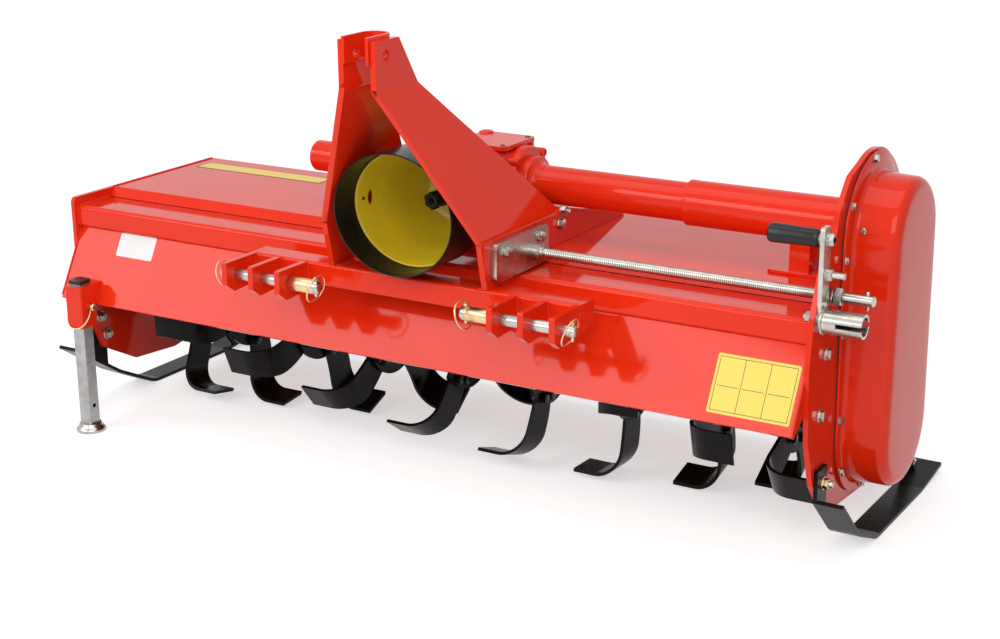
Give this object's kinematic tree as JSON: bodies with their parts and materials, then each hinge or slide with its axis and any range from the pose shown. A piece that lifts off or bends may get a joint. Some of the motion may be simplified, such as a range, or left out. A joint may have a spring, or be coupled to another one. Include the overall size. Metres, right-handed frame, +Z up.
{
  "type": "rotavator, a tractor-mounted rotary tiller with a side-shifting headstock",
  "caption": "Red tractor-mounted rotary tiller with side gear drive, three-point mast that side-shifts on a screw, PTO guard, skids, parking leg and rear board.",
  "frame": {"origin": "on the ground under the middle of the overall box, with the skids' runners and the parking leg's foot at z = 0", "axes": "+X towards the side gear case, across the working width; -Y towards the tractor; +Z up"},
  "size_m": [1.889, 0.85, 0.952],
  "materials": {
    "red_paint": "gloss",
    "black_paint": "satin",
    "dark_steel": "matte",
    "zinc": "satin",
    "black_plastic": "matte",
    "olive_plastic": "satin"
  },
  "bodies": {
    "frame": {"hood_deck": "red_paint", "front_beam": "red_paint", "front_panel": "red_paint", "side_plate_left": "red_paint", "side_plate_right": "red_paint", "gear_case": "red_paint", "gear_train": "dark_steel", "outer_tube": "red_paint", "tube_bracket": "red_paint", "shift_screw": "zinc", "crank_arm": "zinc", "crank_grip": "black_plastic", "skid_left": "black_paint", "skid_right": "black_paint", "leg_sleeve": "red_paint", "bearing_left": "red_paint", "bearing_right": "red_paint", "tail_hinges": "red_paint"},
    "headstock": {"mast_left": "red_paint", "mast_right": "red_paint", "mast_strap": "red_paint", "hitch_bar": "red_paint", "hitch_ears_left": "red_paint", "hitch_ears_right": "red_paint", "hitch_pin_left": "zinc", "hitch_pin_right": "zinc", "gearbox": "red_paint", "gearbox_cover": "red_paint", "inner_tube": "red_paint", "stub_tube": "red_paint", "adjuster_plate": "red_paint", "guard_drum": "black_plastic", "guard_cone": "olive_plastic"},
    "pto_shaft": {"pto_stub": "dark_steel"},
    "rotor": {"rotor_tube": "black_paint", "blades_left": "black_paint", "blades_middle": "black_paint", "blades_right": "black_paint"},
    "leg": {"leg_tube": "zinc", "leg_cap": "black_plastic"},
    "rear_board": {"tail_board": "red_paint"}
  },
  "joints": [
    {"name": "headstock_shift", "type": "slide", "parent": "frame", "child": "headstock", "axis": [1, 0, 0], "range_m": [-0.02, 0.25]},
    {"name": "rotor_spin", "type": "hinge", "parent": "frame", "child": "rotor", "pos_m": [-0.0165, 0.075, 0.224], "axis": [1, 0, 0], "continuous": true},
    {"name": "pto_spin", "type": "hinge", "parent": "headstock", "child": "pto_shaft", "pos_m": [0.0655, -0.125, 0.606], "axis": [0, -1, 0], "continuous": true},
    {"name": "leg_slide", "type": "slide", "parent": "frame", "child": "leg", "axis": [0, 0, 1], "range_m": [0, 0.22]},
    {"name": "board_hinge", "type": "hinge", "parent": "frame", "child": "rear_board", "pos_m": [-0.0165, 0.307, 0.476], "axis": [1, 0, 0], "range_deg": [-8, 60]}
  ],
  "couplings": [
    {"joint": "pto_spin", "follows": "rotor_spin", "ratio": 2.63}
  ]
}
